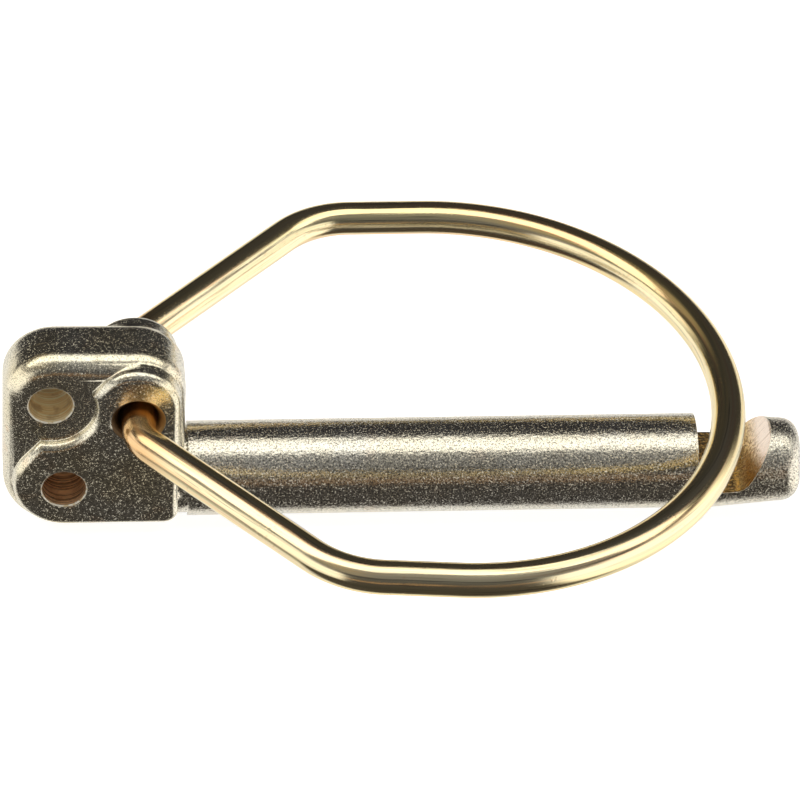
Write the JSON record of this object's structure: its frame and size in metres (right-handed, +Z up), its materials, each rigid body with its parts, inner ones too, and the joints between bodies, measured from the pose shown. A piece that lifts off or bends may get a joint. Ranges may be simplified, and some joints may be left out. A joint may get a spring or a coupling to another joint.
{
  "type": "lynch pin",
  "caption": "Forged pipe lynch pin: round shaft with a hooked notch at its tip, a stepped drilled head, and a hinged spring-wire bow that swings over to the notch.",
  "frame": {"origin": "centre of the box round the whole part, at the level that it lies on", "axes": "+X along the shaft to the tip, +Y along the bow's hinge to the far side, +Z up from the surface it lies on"},
  "size_m": [0.0842, 0.062, 0.0228],
  "materials": {
    "forged_steel": "yellow zinc plate on a grainy drop-forged surface",
    "spring_wire": "yellow zinc plate on smooth drawn wire"
  },
  "bodies": {
    "pin": {"pin": "forged_steel"},
    "bow": {"bow": "spring_wire"}
  },
  "joints": [
    {"name": "bow_hinge", "type": "hinge", "parent": "pin", "child": "bow", "pos_m": [-0.0282, 0, 0.016], "axis": [0, -1, 0], "range_deg": [-6.8, 344]}
  ]
}
